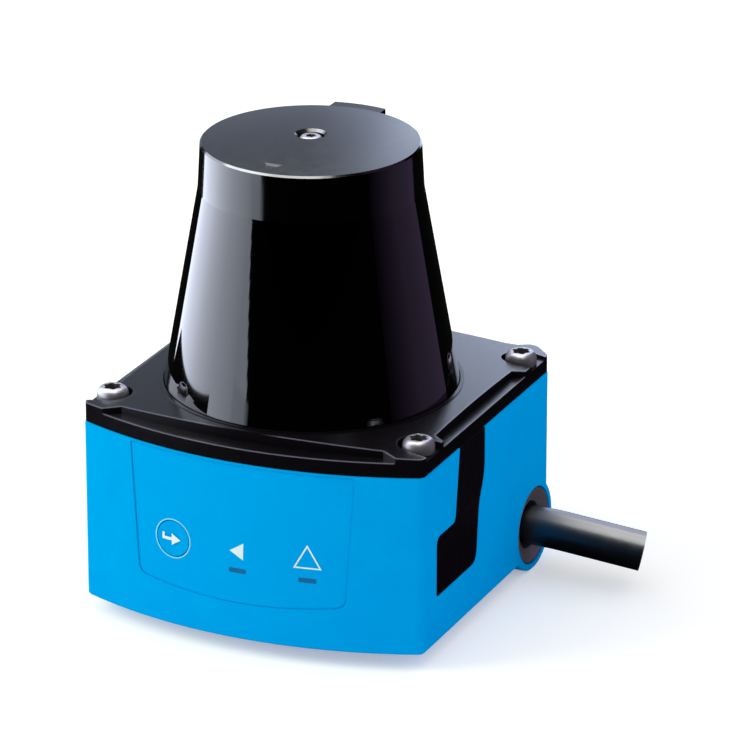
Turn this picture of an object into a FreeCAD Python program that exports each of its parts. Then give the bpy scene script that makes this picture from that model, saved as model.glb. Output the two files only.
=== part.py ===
import FreeCAD
import Part
import math
import os
from FreeCAD import Vector

# Compact 2-D laser scanner. Millimetres, +Z up, -Y is the bulged front, +X the side of the cable.
# The origin lies on the underside of the housing, below the scan axis.

# Housing
body_width = 60.0
body_height = 30.45
front_apex = 29.2
front_radius = 74.6
back_depth = 31.3
back_chamfer = 3.3
corner_radius = 1.5
base_edge = 0.25
rim_edge = 0.25
wall = 2.6
floor_thickness = 3.0
seal_groove_inset = 1.3
seal_groove_width = 0.6
seal_groove_depth = 0.55

# Top plate
plate_inset = 0.1
plate_edge_height = 2.4
crown_height = 4.87
crown_radius = 400.0
collar_height = 0.1
collar_width = 0.6
hood_clearance = 0.15
side_ledge_width = 2.05
side_ledge_slant = 1.25
side_ledge_front_land = 3.05
side_ledge_back_land = 5.0
front_ledge_depth = 3.6
front_ledge_half_width = 23.0
front_ledge_radius = 104.0
front_ledge_end_run = 2.45
front_ledge_end_drop = 1.3
back_ledge_depth = 1.3
back_ledge_half_width = 23.3
back_ledge_radius = 310.0
back_ledge_end_run = 2.1

# Cover screws
screw_side_inset = 3.0
screw_front_inset = 4.7
screw_back_inset = 7.9
screw_head_diameter = 5.2
screw_head_height = 2.3
screw_shank_diameter = 2.0
screw_length = 9.0
screw_socket = 3.0
screw_socket_depth = 1.1
screw_clearance = 0.3
thread_clearance = 0.05
pocket_radius = 2.95
pocket_shift = 0.35
opening_middle_side = 2.4
front_opening_inner = 2.9
front_opening_outer = 3.9
back_opening_inner = 4.2
back_opening_outer = 3.1
post_radius = 3.4

# Hood, heights above the housing's rim
hood_base_radius = 24.0
hood_break_radius = 18.2
hood_rim_radius = 17.8
hood_base_height = 4.35
hood_break_height = 37.0
hood_rim_height = 44.75
hood_crown = 1.1
hood_rim_edge = 0.3
hood_wall = 1.8
hood_flange_radius = 25.5
hood_flange_thickness = 1.5
flange_pocket_height = 1.85
flange_clearance = 0.3
hood_seal_thickness = 0.8
hood_seal_width = 2.6
rib_width = 9.0
rib_radius = 19.6
rib_foot_height = 28.0
hood_screw_pocket_radius = 2.2
hood_screw_pocket_depth = 1.9
hood_screw_pocket_edge = 0.45
hood_screw_head_diameter = 3.9
hood_screw_head_height = 1.6
hood_screw_socket = 2.0
hood_boss_radius = 4.5
pointer_tip = 17.0
pointer_back = 13.9
pointer_half_width = 1.6
pointer_depth = 0.35

# Front label, button and status windows; places are measured along the curved front
label_thickness = 0.25
label_sink = 0.12
label_gap = 0.06
label_top_gap = 0.5
label_top_half_width = 19.65
label_foot_half_width = 18.2
label_foot_height = 7.7
label_foot_sag = 1.45
label_corner_radius = 1.7
button_place = -11.6
button_height = 15.0
button_radius = 3.0
button_clearance = 0.15
button_dish_radius = 18.0
button_dish_depth = 0.2
button_flange = 0.8
button_flange_thickness = 0.7
button_stem_radius = 1.6
button_stem_length = 0.8
button_travel = 0.3
button_free_gap = 0.3
window_places = (0.3, 12.2)
window_width = 3.0
window_tall = 0.85
window_corner = 0.25
window_height = 11.85

# Service port on the +X side
port_gap = 0.15
cover_thickness = 1.1
strap_front = -8.5
strap_back = 1.4
strap_waist_front = -10.2
strap_waist_back = -0.8
strap_neck_height = 22.5
strap_bend_radius = 10.0
strap_top_gap = 0.1
pad_front = -17.6
pad_back = -1.9
pad_foot = 8.1
pad_top = 18.1
pad_small_radius = 0.7
pad_top_radius = 1.4
pad_corner_radius = 2.0
mouth_middle = -10.0
mouth_height = 12.9
mouth_width = 8.4
mouth_tall = 4.6
plug_margin = 0.6
plug_depth = 1.2
socket_width = 7.6
socket_tall = 3.8
socket_depth = 6.8
socket_shell = 0.4
socket_setback = 0.6
tongue_thickness = 0.8

# Cable boss, gland and cable
gland_back_inset = 8.82
gland_z = 4.95
gland_boss_radius = 7.75
gland_boss_length = 17.0
gland_boss_edge = 0.2
gland_bore_radius = 6.62
gland_bore_depth = 7.0
gland_ring_setback = 0.1
gland_ring_gap = 0.25
gland_ring_relief = 1.0
gland_ring_lip = 0.2
gland_dish_depth = 0.8
gland_dish_radius = 4.3
gland_hole_radius = 4.1
cable_bore_radius = 4.7
cable_radius = 3.3
cable_inner_length = 14.0
cable_straight = 1.0
cable_bend_radius = 60.0
cable_droop = 4.6
cable_reach = 16.9
cable_cut_yaw = 19.0
cable_cut_tilt = 12.0

# Tapped mounting holes
mount_thread_radius = 1.25
mount_thread_depth = 2.8
mount_pad_radius = 3.4
mount_pad_rise = 2.6
base_hole_spacing = 24.0
back_hole_spacing = 34.0
back_hole_height = 18.0

# Scan bracket
disc_radius = 25.3
disc_thickness = 2.5
bracket_screw_radius = 19.0
bracket_screw_angles = (115.0, 194.0, 322.0)
bracket_post_radius = 2.4
bracket_shoulder_radius = 3.6
bracket_screw_head_diameter = 3.8
bracket_screw_head_height = 1.3
bracket_screw_shank_diameter = 1.6
bracket_screw_length = 7.5
arm_gap = 0.6
arm_thickness = 2.4
arm_angle = 34.0
motor_plate_thickness = 2.45
motor_plate_radius = 15.0

# Scan motor and rotor, heights above the housing's rim
hub_radius = 3.6
hub_drop = 8.0
bearing_radius = 2.5
bearing_length = 2.0
shaft_radius = 1.25
shaft_clearance = 0.03
shaft_end_gap = 0.3
tooth_count = 6
tooth_width = 2.2
tooth_reach = 8.4
tooth_shoe = 0.8
tooth_shoe_angle = 40.0
core_height = 33.6
core_thickness = 3.8
coil_thickness = 0.8
coil_length = 3.4
magnet_gap = 0.4
magnet_thickness = 0.9
bell_wall = 1.0
bell_floor = 1.0
bell_floor_height = 30.2
bell_height = 7.8
encoder_radius = 12.9
encoder_thickness = 0.4
sensor_width = 5.0
sensor_gap = 0.5
sensor_jaw = 1.6
sensor_reach = 1.6
carrier_radius = 10.2
carrier_wall = 1.4
carrier_post_radius = 3.0
mirror_height = 16.5
mirror_thickness = 1.5

# Receiver and transmitter optics
barrel_radius = 12.6
barrel_wall = 1.2
barrel_stand = 1.2
barrel_flange = 1.6
barrel_flange_thickness = 1.0
barrel_straight = 2.5
barrel_foot_radius = 4.8
barrel_foot_gap = 1.8
lens_edge = 1.6
lens_crown = 2.6
lens_shoulder = 0.8
laser_tube_radius = 2.4
laser_tube_wall = 0.6
laser_tube_rise = 4.5
laser_tube_drop = 8.0
spider_collar = 0.8
spider_height = 3.0
spider_rib = 0.9
collimator_edge = 1.0
collimator_crown = 0.5
diode_length = 2.6
diode_flange = 0.5

# Boards
board_thickness = 1.6
board_inset = 3.4
board_height = 6.0
board_clearance = 0.3
gland_relief = 1.5
front_board_thickness = 1.2
front_board_back = 19.3
front_board_half_width = 18.0
front_board_top = 24.0
led_width = 2.0
led_tall = 1.2
led_depth = 1.2
pipe_led_gap = 0.3
switch_width = 6.0
switch_stem_radius = 1.5
switch_stem_length = 0.7
detector_width = 5.0
detector_thickness = 1.5
chip_thickness = 1.2
chip_sizes = ((9.0, 9.0), (6.0, 5.0), (5.0, 7.0))
chip_insets = (12.0, 11.5, 36.5)
chip_rows = (-13.0, 9.0, -14.5)
capacitor_radius = 2.5
capacitor_height = 7.0
capacitor_side_insets = (9.5, 16.0)
capacitor_back_insets = (10.9, 8.4)

rim_z = body_height
half_width = body_width / 2
arc_centre_y = front_radius - front_apex
gland_y = back_depth - gland_back_inset
disc_top = rim_z + flange_pocket_height - hood_flange_thickness - hood_seal_thickness
disc_bottom = disc_top - disc_thickness
rim_crown_z = rim_z + hood_rim_height + hood_crown
motor_plate_top = rim_crown_z - hood_screw_pocket_depth - hood_wall
motor_plate_bottom = motor_plate_top - motor_plate_thickness
board_top = board_height + board_thickness
hood_slope = (hood_base_radius - hood_break_radius) / (hood_break_height - hood_base_height)


def front_y(x, inset=0.0):
    """Y of the bulged front, moved inwards by the inset, at a given x."""
    return arc_centre_y - math.sqrt((front_radius - inset) ** 2 - x ** 2)


def rounded_wire(points, radii):
    """Closed wire through coplanar points, each corner rounded by its radius."""
    edges = []
    corners = []
    for i, point in enumerate(points):
        back = (points[i - 1] - point).normalize()
        ahead = (points[(i + 1) % len(points)] - point).normalize()
        half = math.acos(max(-1.0, min(1.0, back.dot(ahead)))) / 2
        run = radii[i] / math.tan(half)
        middle = (back + ahead).normalize() * (radii[i] / math.sin(half) - radii[i])
        corners.append((point + back * run, point + middle, point + ahead * run))
    for i, (start, middle, end) in enumerate(corners):
        if radii[i] > 0:
            edges.append(Part.Arc(start, middle, end).toShape())
        edges.append(Part.makeLine(end, corners[(i + 1) % len(corners)][0]))
    return Part.Wire(edges)


def prism(wire, along):
    """Solid swept from a closed plane wire along a vector."""
    return Part.Face(wire).extrude(along)


def plan_solid(inset, bottom, top, corner):
    """Block with the housing's plan outline, moved inwards by the inset."""
    half = half_width - inset
    back = back_depth - inset
    diagonal = half_width + back_depth - back_chamfer - inset * math.sqrt(2)
    corner_y = front_y(half, inset)
    points = [
        Vector(half, corner_y, bottom),
        Vector(half, diagonal - half, bottom),
        Vector(diagonal - back, back, bottom),
        Vector(back - diagonal, back, bottom),
        Vector(-half, diagonal - half, bottom),
        Vector(-half, corner_y, bottom),
    ]
    front = Part.Arc(points[-1], Vector(0, front_y(0, inset), bottom), points[0]).toShape()
    sides = [Part.makeLine(a, b) for a, b in zip(points, points[1:])]
    solid = prism(Part.Wire([front] + sides), Vector(0, 0, top - bottom))
    upright = [edge for edge in solid.Edges if is_upright(edge)]
    return solid.makeFillet(corner, upright)


def is_upright(edge):
    return abs(edge.tangentAt(edge.FirstParameter).z) > 0.99


def runs_inward(edge):
    return abs(edge.tangentAt(edge.FirstParameter).y) > 0.99


def edges_at(solid, height):
    """Edges of a solid that lie at one height."""
    return [e for e in solid.Edges if e.BoundBox.ZMax - height < 1e-6 and height - e.BoundBox.ZMin < 1e-6]


def lathe(profile):
    """Solid of revolution about Z from (radius, height) points."""
    points = [Vector(radius, 0, height) for radius, height in profile]
    face = Part.Face(Part.makePolygon(points + points[:1]))
    return face.revolve(Vector(), Vector(0, 0, 1), 360)


def tube(outer, inner, bottom, top):
    return lathe([(inner, bottom), (outer, bottom), (outer, top), (inner, top)])


def along_x(solid, x, y, z):
    """Turn a solid built along Z so that it points along +X from a place."""
    solid.rotate(Vector(), Vector(0, 1, 0), 90)
    solid.translate(Vector(x, y, z))
    return solid


def on_front(solid, place):
    """Carry a solid built at the front's apex along the curved front."""
    solid.rotate(Vector(0, arc_centre_y, 0), Vector(0, 0, 1), math.degrees(place / front_radius))
    return solid


def rod_in(radius, start, end, height):
    """Rod at the front's apex between two depths behind the front face."""
    return Part.makeCylinder(radius, end - start, Vector(0, start - front_apex, height), Vector(0, 1, 0))


def centred_box(x0, x1, y_middle, y_size, z_middle, z_size):
    corner = Vector(x0, y_middle - y_size / 2, z_middle - z_size / 2)
    return Part.makeBox(x1 - x0, y_size, z_size, corner)


def screw(head_diameter, head_height, shank_diameter, length, socket, socket_depth):
    """Pan-head screw with a six-lobe socket; its seat is at z = 0."""
    radius = head_diameter / 2
    shank = shank_diameter / 2
    body = lathe([
        (0, -length), (shank, -length), (shank, 0), (radius, 0), (radius, 0.45 * head_height),
        (0.95 * radius, 0.68 * head_height), (0.85 * radius, 0.86 * head_height),
        (0.73 * radius, 0.96 * head_height), (0.62 * radius, head_height), (0, head_height),
    ])
    core = socket * 0.36
    lobe = socket / 2 - core
    bottom = head_height - socket_depth
    cutter = Part.makeCylinder(core, socket_depth, Vector(0, 0, bottom))
    for i in range(6):
        angle = math.radians(60 * i)
        place = Vector(core * math.cos(angle), core * math.sin(angle), bottom)
        cutter = cutter.fuse(Part.makeCylinder(lobe, socket_depth, place))
    return body.cut(cutter)


def copies(solid, places):
    """Group of separate copies of one solid."""
    group = []
    for place in places:
        copy = solid.copy()
        copy.translate(place)
        group.append(copy)
    return Part.makeCompound(group)


def cover_screw_places(z):
    x = half_width - screw_side_inset
    front = front_y(half_width) + screw_front_inset
    back = back_depth - screw_back_inset
    return [Vector(side * x, y, z) for side in (1, -1) for y in (front, back)]


def bracket_screw_places(z):
    places = []
    for angle in bracket_screw_angles:
        turn = math.radians(angle)
        x = bracket_screw_radius * math.cos(turn)
        y = bracket_screw_radius * math.sin(turn)
        places.append(Vector(x, y, z))
    return places


def port_outline(margin, x):
    """Outline of the rubber port cover on the +X side, grown by a margin."""
    top = rim_z - strap_top_gap + margin
    shape = [
        (strap_front - margin, top),
        (strap_waist_front - margin, pad_top + margin),
        (pad_front - margin, pad_top + margin),
        (pad_front - margin, pad_foot - margin),
        (pad_back + margin, pad_foot - margin),
        (strap_waist_back + margin, pad_top - margin),
        (strap_back + margin, strap_neck_height),
        (strap_back + margin, top),
    ]
    radii = [0.3, 1.2, pad_top_radius, pad_small_radius, pad_corner_radius,
             strap_bend_radius, strap_bend_radius, 0.3]
    return rounded_wire([Vector(x, y, z) for y, z in shape], radii)


def label_block(gap):
    """Block through the front with the label's outline, made smaller by a gap."""
    top = rim_z - label_top_gap - gap
    foot = label_foot_height + gap
    wide = label_top_half_width - gap
    narrow = label_foot_half_width - gap
    y = -front_apex - wall
    corners = [Vector(-wide, y, top), Vector(-narrow, y, foot),
               Vector(narrow, y, foot), Vector(wide, y, top)]
    foot_arc = Part.Arc(corners[1], Vector(0, y, foot - label_foot_sag), corners[2]).toShape()
    sides = [Part.makeLine(corners[0], corners[1]), Part.makeLine(corners[2], corners[3])]
    wire = Part.Wire([sides[0], foot_arc, sides[1], Part.makeLine(corners[3], corners[0])])
    block = prism(wire, Vector(0, front_apex, 0))
    low = [e for e in block.Edges if runs_inward(e) and e.BoundBox.ZMax < foot + 1]
    return block.makeFillet(label_corner_radius, low)


def front_drum(radius):
    """Upright drum concentric with the bulged front."""
    return Part.makeCylinder(radius, rim_z, Vector(0, arc_centre_y, 0))


def window_rod(place, start, end):
    """Bar through a status window between two depths behind the front face."""
    corner = Vector(-window_width / 2, start - front_apex, window_height - window_tall / 2)
    bar = Part.makeBox(window_width, end - start, window_tall, corner)
    bar = bar.makeFillet(window_corner, [edge for edge in bar.Edges if runs_inward(edge)])
    return on_front(bar, place)


def gland_boss():
    boss = Part.makeCylinder(gland_boss_radius, gland_boss_length)
    boss = boss.makeChamfer(gland_boss_edge, edges_at(boss, gland_boss_length))
    boss = boss.makeChamfer(gland_boss_radius / 3, edges_at(boss, 0))
    return along_x(boss, half_width - gland_boss_length, gland_y, gland_z)


def mount_holes(radius, depth, outward):
    """Rods at the tapped holes: two in the base and two in the back."""
    rods = []
    for side in (1, -1):
        base = Vector(side * base_hole_spacing / 2, 0, -outward)
        back = Vector(side * back_hole_spacing / 2, back_depth + outward, back_hole_height)
        rods.append(Part.makeCylinder(radius, depth + outward, base, Vector(0, 0, 1)))
        rods.append(Part.makeCylinder(radius, depth + outward, back, Vector(0, -1, 0)))
    return rods


def make_housing():
    body = plan_solid(0, 0, rim_z, corner_radius)
    body = body.makeChamfer(base_edge, edges_at(body, 0))
    body = body.makeChamfer(rim_edge, edges_at(body, rim_z))
    shell = body.cut(plan_solid(wall, floor_thickness, rim_z + 1, corner_radius))
    inside = [Part.makeCylinder(post_radius, rim_z, place) for place in cover_screw_places(0)]
    inside += [Part.makeCylinder(bracket_post_radius, disc_bottom, p) for p in bracket_screw_places(0)]
    inside += [Part.makeCylinder(bracket_shoulder_radius, board_height, p) for p in bracket_screw_places(0)]
    inside += mount_holes(mount_pad_radius, mount_thread_depth + mount_pad_rise, 0)
    shell = shell.fuse([piece.common(body) for piece in inside] + [gland_boss()])
    cuts = [Part.makeCylinder(screw_shank_diameter / 2 + thread_clearance, screw_length, place)
            for place in cover_screw_places(rim_z + plate_edge_height - screw_length)]
    bracket_hole = bracket_screw_shank_diameter / 2 + thread_clearance
    cuts += [Part.makeCylinder(bracket_hole, bracket_screw_length, place)
             for place in bracket_screw_places(disc_top - bracket_screw_length)]
    cuts += mount_holes(mount_thread_radius, mount_thread_depth, 1)
    groove = plan_solid(seal_groove_inset, rim_z - seal_groove_depth, rim_z + 1, corner_radius / 2)
    island_inset = seal_groove_inset + seal_groove_width
    cuts.append(groove.cut(plan_solid(island_inset, 0, rim_z + 2, corner_radius / 2)))
    cuts.append(label_block(0).cut(front_drum(front_radius - label_sink - label_thickness)))
    button_hole = rod_in(button_radius + button_clearance, -1, wall + 1, button_height)
    cuts.append(on_front(button_hole, button_place))
    cuts += [window_rod(place, -1, wall + 1) for place in window_places]
    cover_seat = port_outline(port_gap, half_width - cover_thickness)
    cuts.append(prism(cover_seat, Vector(cover_thickness + 1, 0, 0)))
    cuts.append(centred_box(half_width - wall - 1, half_width,
                            mouth_middle, mouth_width, mouth_height, mouth_tall))
    bore = Part.makeCylinder(gland_bore_radius, gland_bore_depth + 1)
    cuts.append(along_x(bore, half_width - gland_bore_depth, gland_y, gland_z))
    cuts.append(along_x(Part.makeCylinder(cable_bore_radius, gland_boss_length + 1),
                        half_width - gland_boss_length - 0.5, gland_y, gland_z))
    return shell.cut(cuts)


def side_ledge():
    """Step cut along the +X edge of the plate, between two screw pockets."""
    front = cover_screw_places(0)[0].y + side_ledge_front_land
    back = cover_screw_places(0)[1].y - side_ledge_back_land
    inner = half_width - side_ledge_width
    outer = half_width + side_ledge_width
    slope = side_ledge_slant / side_ledge_width * (outer - half_width)
    points = [
        Vector(inner, front + side_ledge_slant, 0),
        Vector(outer, front - slope, 0),
        Vector(outer, back + slope, 0),
        Vector(inner, back - side_ledge_slant, 0),
    ]
    return rounded_wire(points, [0.3, 0, 0, 0.3])


def end_ledge(direction, edge, depth, half, radius, run, drop):
    """Step cut along the front or back edge, with a curved inner wall and slanted ends."""
    apex = direction * (edge - depth)
    sag = radius - math.sqrt(radius ** 2 - half ** 2)
    end = apex - direction * sag
    reach = 4
    far_x = half + reach * run
    far_y = end + direction * reach * drop
    beyond = direction * (edge + reach * drop + 5)
    points = [Vector(half, end, 0), Vector(far_x, far_y, 0), Vector(far_x, beyond, 0),
              Vector(-far_x, beyond, 0), Vector(-far_x, far_y, 0), Vector(-half, end, 0)]
    inner_wall = Part.Arc(points[-1], Vector(0, apex, 0), points[0]).toShape()
    return Part.Wire([inner_wall] + [Part.makeLine(a, b) for a, b in zip(points, points[1:])])


def screw_pocket(place):
    """Round pocket for a screw's head, open to the side of the plate."""
    outward = math.copysign(1, place.x)
    if place.y < 0:
        to_corner, inner, outer = -1, front_opening_inner, front_opening_outer
    else:
        to_corner, inner, outer = 1, back_opening_inner, back_opening_outer
    edge = outward * (screw_side_inset + 1)
    corners = [Vector(0, to_corner * inner), Vector(edge, to_corner * outer),
               Vector(edge, -to_corner * opening_middle_side), Vector(0, -to_corner * opening_middle_side)]
    wire = Part.makePolygon([place + corner for corner in corners + corners[:1]])
    opening = prism(wire, Vector(0, 0, crown_height))
    middle = place - Vector(outward * pocket_shift, 0, 0)
    return Part.makeCylinder(pocket_radius, crown_height, middle).fuse(opening)


def make_top_plate():
    top = rim_z + crown_height
    ledge_z = rim_z + plate_edge_height
    plate = plan_solid(plate_inset, rim_z, top + 1, corner_radius)
    dome = Part.makeSphere(crown_radius, Vector(0, 0, top - crown_radius))
    plate = plate.common(dome)
    bore = hood_base_radius + hood_clearance
    collar_z = top - bore ** 2 / (2 * crown_radius) + collar_height
    plate = plate.fuse(tube(bore + collar_width, bore, rim_z, collar_z))
    lift = Vector(0, 0, crown_height + 2)
    wires = [side_ledge(), side_ledge().mirror(Vector(), Vector(1, 0, 0))]
    wires.append(end_ledge(-1, front_apex, front_ledge_depth, front_ledge_half_width, front_ledge_radius,
                           front_ledge_end_run, front_ledge_end_drop))
    wires.append(end_ledge(1, back_depth, back_ledge_depth, back_ledge_half_width, back_ledge_radius,
                           back_ledge_end_run, back_ledge_end_run))
    cuts = []
    for wire in wires:
        step = prism(wire, lift)
        step.translate(Vector(0, 0, ledge_z))
        cuts.append(step)
    for place in cover_screw_places(ledge_z):
        cuts.append(screw_pocket(place))
        hole = Part.makeCylinder(screw_shank_diameter / 2 + screw_clearance, 2 * crown_height)
        hole.translate(place - Vector(0, 0, crown_height))
        cuts.append(hole)
    cuts.append(Part.makeCylinder(bore, 2 * crown_height, Vector(0, 0, rim_z - 1)))
    pocket = hood_flange_radius + flange_clearance
    cuts.append(Part.makeCylinder(pocket, flange_pocket_height + 1, Vector(0, 0, rim_z - 1)))
    return plate.cut(cuts)


def make_plate_gasket():
    bottom = rim_z - seal_groove_depth
    ring = plan_solid(seal_groove_inset, bottom, rim_z, corner_radius / 2)
    inner = plan_solid(seal_groove_inset + seal_groove_width, bottom - 1, rim_z + 1, corner_radius / 2)
    return ring.cut(inner)


def make_cover_screws():
    one = screw(screw_head_diameter, screw_head_height, screw_shank_diameter,
                screw_length - 1, screw_socket, screw_socket_depth)
    return copies(one, cover_screw_places(rim_z + plate_edge_height))


def pointer_cutter(dome_radius):
    """Sunk triangle with slanted walls that points to the front on the hood's top."""
    surface = rim_crown_z - pointer_back ** 2 / (2 * dome_radius)
    reach = (pointer_tip - pointer_back) / 3
    middle_y = -pointer_back - reach
    wires = []
    for level in (-pointer_depth, pointer_depth):
        size = 1 + level / reach
        corners = [(-pointer_half_width, -pointer_back),
                   (pointer_half_width, -pointer_back), (0, -pointer_tip)]
        points = [Vector(x * size, middle_y + (y - middle_y) * size, surface + level) for x, y in corners]
        wires.append(Part.makePolygon(points + points[:1]))
    return Part.makeLoft(wires, True, True)


def make_optics_hood():
    base_z = rim_z + hood_base_height
    break_z = rim_z + hood_break_height
    top_z = rim_z + hood_rim_height
    flange_top = rim_z + flange_pocket_height
    flange_bottom = flange_top - hood_flange_thickness
    dome_edge = hood_rim_radius - hood_rim_edge
    dome_radius = (dome_edge ** 2 + hood_crown ** 2) / (2 * hood_crown)
    outside = lathe([
        (0, flange_bottom), (hood_flange_radius, flange_bottom), (hood_flange_radius, flange_top),
        (hood_base_radius, flange_top), (hood_base_radius, base_z), (hood_break_radius, break_z),
        (hood_rim_radius, top_z - hood_rim_edge), (dome_edge, top_z),
        (dome_edge, rim_crown_z), (0, rim_crown_z),
    ])
    outside = outside.common(Part.makeSphere(dome_radius, Vector(0, 0, rim_crown_z - dome_radius)))
    rib_z = rim_z + rib_foot_height
    rib = Part.makeBox(rib_width, rib_radius, top_z - rib_z, Vector(-rib_width / 2, 0, rib_z))
    rib = rib.common(Part.makeCylinder(rib_radius, top_z, Vector()))
    inside = lathe([
        (0, flange_bottom - 1), (hood_base_radius - hood_wall, flange_bottom - 1),
        (hood_base_radius - hood_wall, base_z), (hood_break_radius - hood_wall, break_z),
        (hood_rim_radius - hood_wall, top_z - hood_wall), (0, top_z - hood_wall + hood_crown),
    ])
    boss = Part.makeCylinder(hood_boss_radius, rim_crown_z - hood_wall - motor_plate_top + 0.5,
                             Vector(0, 0, motor_plate_top))
    pocket = Part.makeCylinder(hood_screw_pocket_radius, hood_screw_pocket_depth + 1,
                               Vector(0, 0, rim_crown_z - hood_screw_pocket_depth))
    hole = Part.makeCylinder(screw_shank_diameter / 2 + screw_clearance, hood_rim_height,
                             Vector(0, 0, motor_plate_top - 1))
    flare = 2 * hood_screw_pocket_edge
    pocket_edge = Part.makeCone(hood_screw_pocket_radius, hood_screw_pocket_radius + flare, flare,
                                Vector(0, 0, rim_crown_z - hood_screw_pocket_edge))
    hood = outside.fuse(rib).cut(inside).fuse(boss)
    return hood.cut([pocket, pocket_edge, hole, pointer_cutter(dome_radius)])


def make_hood_screw():
    seat = rim_crown_z - hood_screw_pocket_depth
    one = screw(hood_screw_head_diameter, hood_screw_head_height, screw_shank_diameter,
                seat - motor_plate_bottom - 0.5, hood_screw_socket, hood_screw_head_height * 0.6)
    one.translate(Vector(0, 0, seat))
    return one


def make_hood_seal():
    outer = hood_flange_radius - flange_clearance
    return tube(outer, outer - hood_seal_width, disc_top, disc_top + hood_seal_thickness)


def make_front_label():
    label_radius = front_radius - label_sink
    skin = front_drum(label_radius).cut(front_drum(label_radius - label_thickness))
    label = label_block(label_gap).common(skin)
    cuts = [on_front(rod_in(button_radius + button_clearance, -1, wall, button_height), button_place)]
    cuts += [window_rod(place, -1, wall) for place in window_places]
    return label.cut(cuts)


def button_back():
    """Depth behind the front face where the button's flange starts."""
    return wall + button_free_gap


def make_function_button():
    flange_end = button_back() + button_flange_thickness
    cap = rod_in(button_radius, -1, flange_end, button_height)
    flange = rod_in(button_radius + button_flange, button_back(), flange_end, button_height)
    stem = rod_in(button_stem_radius, flange_end - 0.1, flange_end + button_stem_length, button_height)
    dish_y = label_sink + button_dish_depth - front_apex - button_dish_radius
    dish = Part.makeSphere(button_dish_radius, Vector(0, dish_y, button_height))
    button = cap.fuse([flange, stem]).common(front_drum(front_radius - label_sink)).cut(dish)
    return on_front(button, button_place)


def switch_face():
    """Depth of the switch's stem tip: where the button's stem ends after its travel."""
    return button_back() + button_flange_thickness + button_stem_length + button_travel + button_free_gap


def switch_place():
    turn = button_place / front_radius
    return front_radius * math.sin(turn), front_radius * (1 - math.cos(turn))


def make_button_switch():
    x, back_set = switch_place()
    tip = -front_apex + back_set + switch_face()
    stem = Part.makeCylinder(switch_stem_radius, switch_stem_length + 0.1, Vector(x, tip, button_height),
                             Vector(0, 1, 0))
    front = tip + switch_stem_length
    board_front = -front_board_back - front_board_thickness
    corner = Vector(x - switch_width / 2, front, button_height - switch_width / 2)
    return stem.fuse(Part.makeBox(switch_width, board_front - front, switch_width, corner))


def window_x(place):
    return front_radius * math.sin(place / front_radius)


def make_status_leds():
    board_front = -front_board_back - front_board_thickness
    leds = []
    for place in window_places:
        corner = Vector(window_x(place) - led_width / 2, board_front - led_depth,
                        window_height - led_tall / 2)
        leds.append(Part.makeBox(led_width, led_depth, led_tall, corner))
    return Part.makeCompound(leds)


def make_light_pipes():
    """Clear bars that carry the status light from the board to the label."""
    led_front = -front_board_back - front_board_thickness - led_depth
    keep = Part.makeBox(body_width, led_front - pipe_led_gap + front_apex, rim_z,
                        Vector(-half_width, -front_apex, 0))
    drum = front_drum(front_radius - label_sink)
    pipes = [window_rod(place, -1, front_apex).common(drum).common(keep) for place in window_places]
    return Part.makeCompound(pipes)


def make_port_cover():
    flap = prism(port_outline(0, half_width - cover_thickness), Vector(cover_thickness, 0, 0))
    face = half_width - cover_thickness
    plug = centred_box(face - plug_depth, face + 0.1, mouth_middle, mouth_width - 2 * plug_margin,
                       mouth_height, mouth_tall - 2 * plug_margin)
    return flap.fuse(plug).removeSplitter()


def make_port_socket():
    """Metal-shelled service socket on a foot that stands on the main board."""
    front = half_width - cover_thickness - plug_depth - socket_setback
    back = front - socket_depth
    shell = centred_box(back, front, mouth_middle, socket_width, mouth_height, socket_tall)
    hollow = centred_box(back + 1, front + 1, mouth_middle, socket_width - 2 * socket_shell,
                         mouth_height, socket_tall - 2 * socket_shell)
    tongue = centred_box(back, front - 1, mouth_middle, socket_width - 6 * socket_shell,
                         mouth_height, tongue_thickness)
    foot_top = mouth_height - socket_tall / 2
    foot = Part.makeBox(socket_depth - 1, socket_width, foot_top - board_top,
                        Vector(back, mouth_middle - socket_width / 2, board_top))
    return shell.cut(hollow).fuse([tongue, foot])


def make_gland_ring():
    """Dished ring that clamps the cable seal in the boss."""
    length = gland_bore_depth - gland_ring_setback
    outer = gland_bore_radius
    face = outer - gland_ring_gap
    ring = lathe([
        (gland_hole_radius, 0), (outer, 0), (outer, length - gland_ring_relief),
        (face, length - gland_ring_relief), (face, length), (face - gland_ring_lip, length),
        (gland_dish_radius, length - gland_dish_depth), (gland_hole_radius, length - gland_dish_depth),
    ])
    return along_x(ring, half_width - gland_bore_depth, gland_y, gland_z)


def make_cable_seal():
    seal = tube(cable_bore_radius, cable_radius, 0, gland_boss_length - gland_bore_depth)
    return along_x(seal, half_width - gland_boss_length, gland_y, gland_z)


def make_cable_stub():
    """Cable out of the gland with a slight droop, snipped off a little outside it."""
    start = Vector(half_width - cable_inner_length, gland_y, gland_z)
    bend = Vector(half_width + cable_straight, gland_y, gland_z)
    turn = math.radians(cable_droop)
    half = turn / 2
    middle = bend + Vector(math.sin(half), 0, math.cos(half) - 1) * cable_bend_radius
    after = bend + Vector(math.sin(turn), 0, math.cos(turn) - 1) * cable_bend_radius
    heading = Vector(math.cos(turn), 0, -math.sin(turn))
    end = after + heading * cable_reach
    path = Part.Wire([
        Part.makeLine(start, bend),
        Part.Arc(bend, middle, after).toShape(),
        Part.makeLine(after, end),
    ])
    section = Part.Wire([Part.makeCircle(cable_radius, start, Vector(1, 0, 0))])
    cable = path.makePipeShell([section], True, True)
    yaw = math.radians(cable_cut_yaw)
    tilt = math.radians(cable_cut_tilt)
    normal = Vector(math.cos(yaw) * math.cos(tilt), math.sin(yaw) * math.cos(tilt), -math.sin(tilt))
    cut_at = end - heading * cable_radius
    waste = Part.makeCylinder(4 * cable_radius, 4 * cable_radius, cut_at, normal)
    return cable.cut(waste)


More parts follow.
